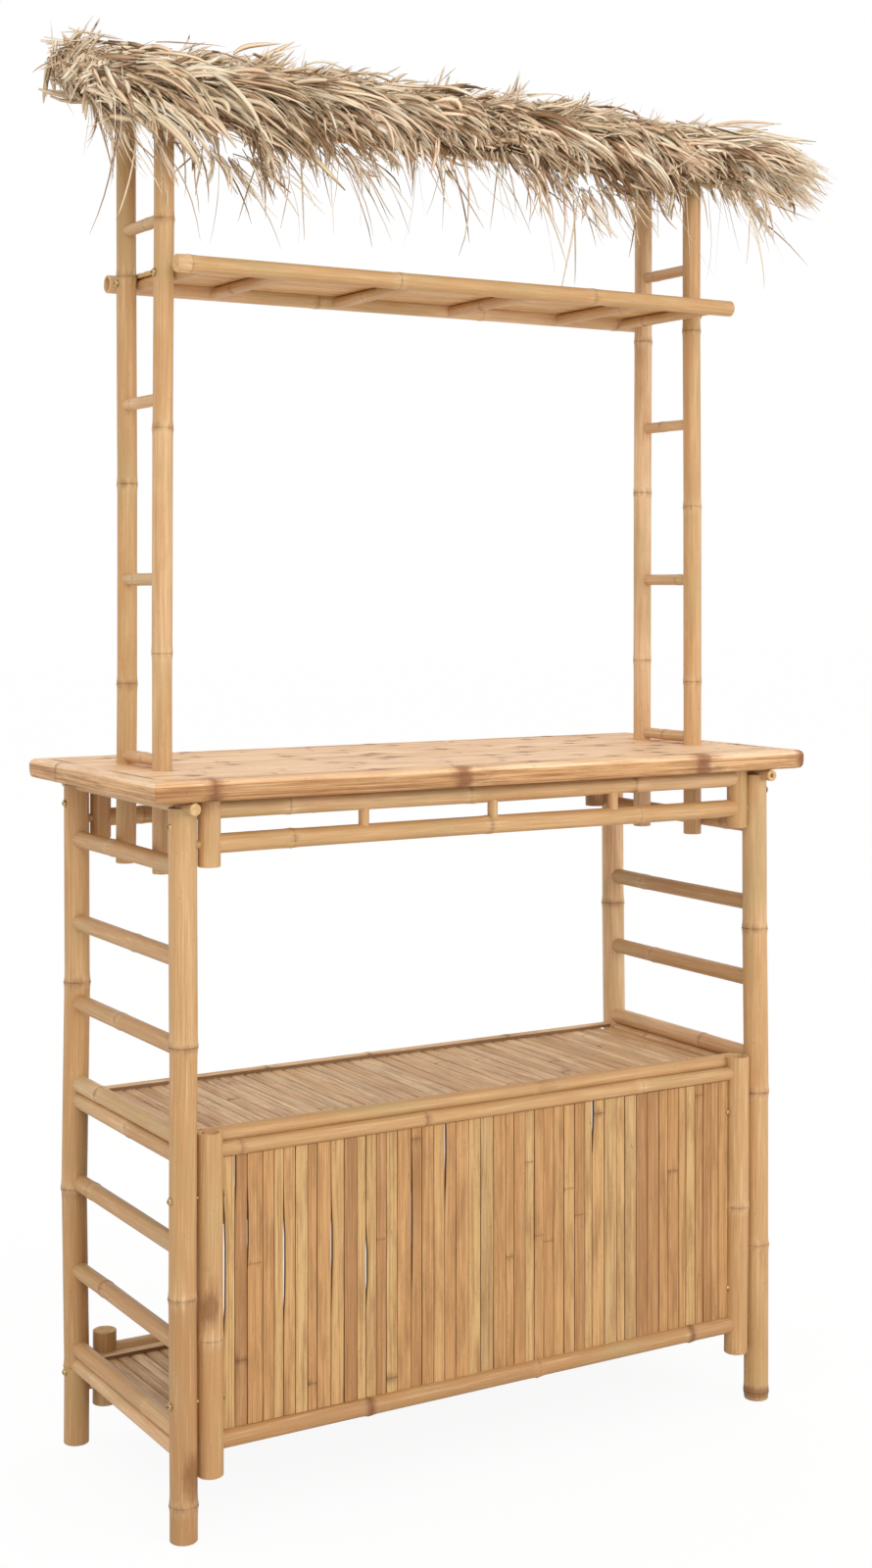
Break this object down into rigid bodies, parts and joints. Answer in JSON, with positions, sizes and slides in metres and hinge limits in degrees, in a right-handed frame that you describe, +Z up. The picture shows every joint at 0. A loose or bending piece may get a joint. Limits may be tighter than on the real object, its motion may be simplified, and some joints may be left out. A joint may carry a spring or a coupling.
{
  "type": "bamboo bar hut",
  "caption": "Free-standing bamboo bar: counter on two ladder-like end frames, slatted skirt with shelves behind it, high shelf between uprights, thatched lean-to roof.",
  "frame": {"origin": "on the floor, under the middle of the whole hut's box", "axes": "+Z up; +X along the counter, to the right of a guest who faces the front; -Y is the front, where the guests stand, and +Y the open back"},
  "size_m": [1.2148, 0.4606, 2.026],
  "materials": {
    "bamboo_pole": "natural bamboo culm, pale honey with darker nodes, satin lacquer",
    "bamboo_slat": "split bamboo slats, mixed honey and brown, satin",
    "bamboo_board": "split bamboo strips side by side, pale, satin lacquer",
    "bolt_brass": "yellow plated bolt, worn",
    "thatch": "dry palm leaf and straw, grey-brown, matt"
  },
  "bodies": {
    "root": {"leg_front_left": "bamboo_pole", "leg_front_right": "bamboo_pole", "leg_rear_left": "bamboo_pole", "leg_rear_right": "bamboo_pole", "top_rail_left": "bamboo_pole", "top_rail_right": "bamboo_pole", "apron_rung_left": "bamboo_pole", "apron_rung_right": "bamboo_pole", "rung_high_left": "bamboo_pole", "rung_high_right": "bamboo_pole", "rung_middle_left": "bamboo_pole", "rung_middle_right": "bamboo_pole", "rung_low_left": "bamboo_pole", "rung_low_right": "bamboo_pole", "rung_foot_left": "bamboo_pole", "rung_foot_right": "bamboo_pole", "middle_shelf_rungs_left": "bamboo_pole", "middle_shelf_rungs_right": "bamboo_pole", "bottom_shelf_rungs_left": "bamboo_pole", "bottom_shelf_rungs_right": "bamboo_pole", "apron_front": "bamboo_pole", "apron_rear": "bamboo_pole", "skirt_post_left": "bamboo_pole", "skirt_post_right": "bamboo_pole", "skirt_rail_top": "bamboo_pole", "skirt_rail_bottom": "bamboo_pole", "skirt_slats": "bamboo_slat", "skirt_bolt_upper_left": "bolt_brass", "skirt_bolt_upper_right": "bolt_brass", "skirt_bolt_lower_left": "bolt_brass", "skirt_bolt_lower_right": "bolt_brass", "middle_shelf_deck": "bamboo_slat", "middle_shelf_front_rail": "bamboo_pole", "bottom_shelf_deck": "bamboo_slat", "rear_stretcher": "bamboo_pole", "counter_board": "bamboo_board", "counter_edge_front": "bamboo_board", "counter_edge_rear": "bamboo_board", "counter_edge_left": "bamboo_board", "counter_edge_right": "bamboo_board", "upright_front_left": "bamboo_pole", "upright_front_right": "bamboo_pole", "upright_rear_left": "bamboo_pole", "upright_rear_right": "bamboo_pole", "ladder_rung_counter_left": "bamboo_pole", "ladder_rung_counter_right": "bamboo_pole", "ladder_rung_first_left": "bamboo_pole", "ladder_rung_first_right": "bamboo_pole", "ladder_rung_second_left": "bamboo_pole", "ladder_rung_second_right": "bamboo_pole", "ladder_rung_third_left": "bamboo_pole", "ladder_rung_third_right": "bamboo_pole", "high_shelf_rail_front": "bamboo_pole", "high_shelf_rail_rear": "bamboo_pole", "high_shelf_deck": "bamboo_slat", "purlin_front": "bamboo_pole", "purlin_rear": "bamboo_pole", "thatch_top": "thatch", "thatch_front": "thatch"}
  },
  "joints": []
}
